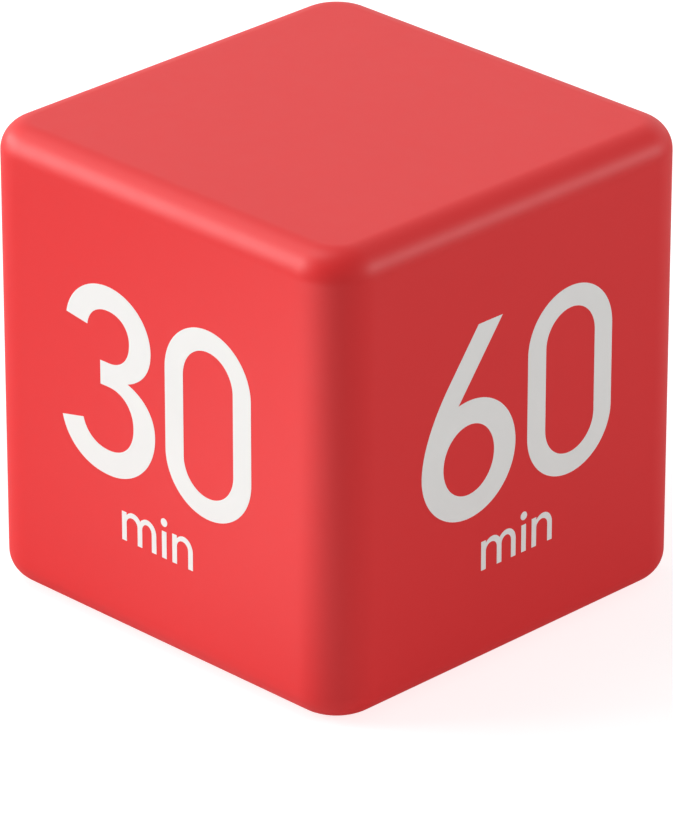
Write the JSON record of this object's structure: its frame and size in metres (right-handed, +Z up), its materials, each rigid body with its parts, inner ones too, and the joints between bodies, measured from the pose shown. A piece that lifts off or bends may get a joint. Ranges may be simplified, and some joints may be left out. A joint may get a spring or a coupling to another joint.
{
  "type": "cube countdown timer",
  "caption": "Palm-sized cube timer with rounded edges: turning a numbered side up starts its countdown; the base has a display window, slide switch and hinged battery door.",
  "frame": {"origin": "middle of the base plane that the cube stands on, service face down", "axes": "+Z up out of the blank top, -Y out of the front side (30 mark), +X out of the right side (60 mark)"},
  "size_m": [0.063, 0.063, 0.063],
  "materials": {
    "case_red": "satin moulded, fine texture",
    "print_white": "pad-printed ink, matte",
    "print_black": "printed border, matte",
    "segment_grey": "display segments at rest, matte",
    "window_clear": "clear polycarbonate, gloss",
    "display_film": "polarising film, satin",
    "display_glass": "clear glass, gloss",
    "reflector_film": "diffuse metallised film",
    "holder_white": "natural moulded",
    "connector_rubber": "striped silicone",
    "board_green": "solder mask, satin gloss",
    "resin_black": "poured epoxy, gloss",
    "can_metal": "tinned, satin",
    "chip_ceramic": "ceramic, matte",
    "sensor_plastic": "moulded, matte",
    "pin_brass": "plain",
    "ball_steel": "polished ball",
    "sounder_black": "moulded, matte",
    "base_resin": "phenolic, matte",
    "slider_white": "acetal, satin",
    "knob_black": "moulded, fine texture",
    "cell_wrap": "plain printed sleeve, gloss",
    "contact_nickel": "nickel plated",
    "lead_red": "vinyl, satin",
    "lead_black": "vinyl, satin",
    "screw_zinc": "zinc plated"
  },
  "bodies": {
    "case": {"outer_shell": "case_red", "service_panel": "case_red", "display_window": "window_clear", "lcd_polariser": "display_film", "lcd_cell": "display_glass", "lcd_reflector": "reflector_film", "lcd_holder": "holder_white", "zebra_strip": "connector_rubber", "circuit_board": "board_green", "controller_blob": "resin_black", "crystal_can": "can_metal", "chip_components": "chip_ceramic", "tilt_tray": "sensor_plastic", "tilt_lid": "sensor_plastic", "tilt_pins": "pin_brass", "sounder_case": "sounder_black", "sounder_disc": "pin_brass", "sounder_base": "base_resin", "switch_frame": "can_metal", "switch_wafer": "base_resin", "switch_terminals": "can_metal", "battery_front": "cell_wrap", "battery_rear": "cell_wrap", "positive_contact": "contact_nickel", "negative_contact": "contact_nickel", "bridge_contact": "contact_nickel", "battery_springs": "contact_nickel", "red_lead": "lead_red", "black_lead": "lead_black", "case_screws": "screw_zinc", "board_screws": "screw_zinc"},
    "door": {"battery_door": "case_red"},
    "power_switch": {"switch_slider": "slider_white", "switch_cap": "knob_black"},
    "ball": {"tilt_ball": "ball_steel"}
  },
  "joints": [
    {"name": "battery_door_hinge", "type": "hinge", "parent": "case", "child": "door", "pos_m": [0, -0.02345, 0.00145], "axis": [-1, 0, 0], "range_deg": [0, 95]},
    {"name": "power_switch_slide", "type": "slide", "parent": "case", "child": "power_switch", "axis": [0, 1, 0], "range_m": [0, 0.002]},
    {"name": "tilt_ball_roll", "type": "slide", "parent": "case", "child": "ball", "axis": [1, 0, 0], "range_m": [-0.0026, 0.0026]}
  ]
}
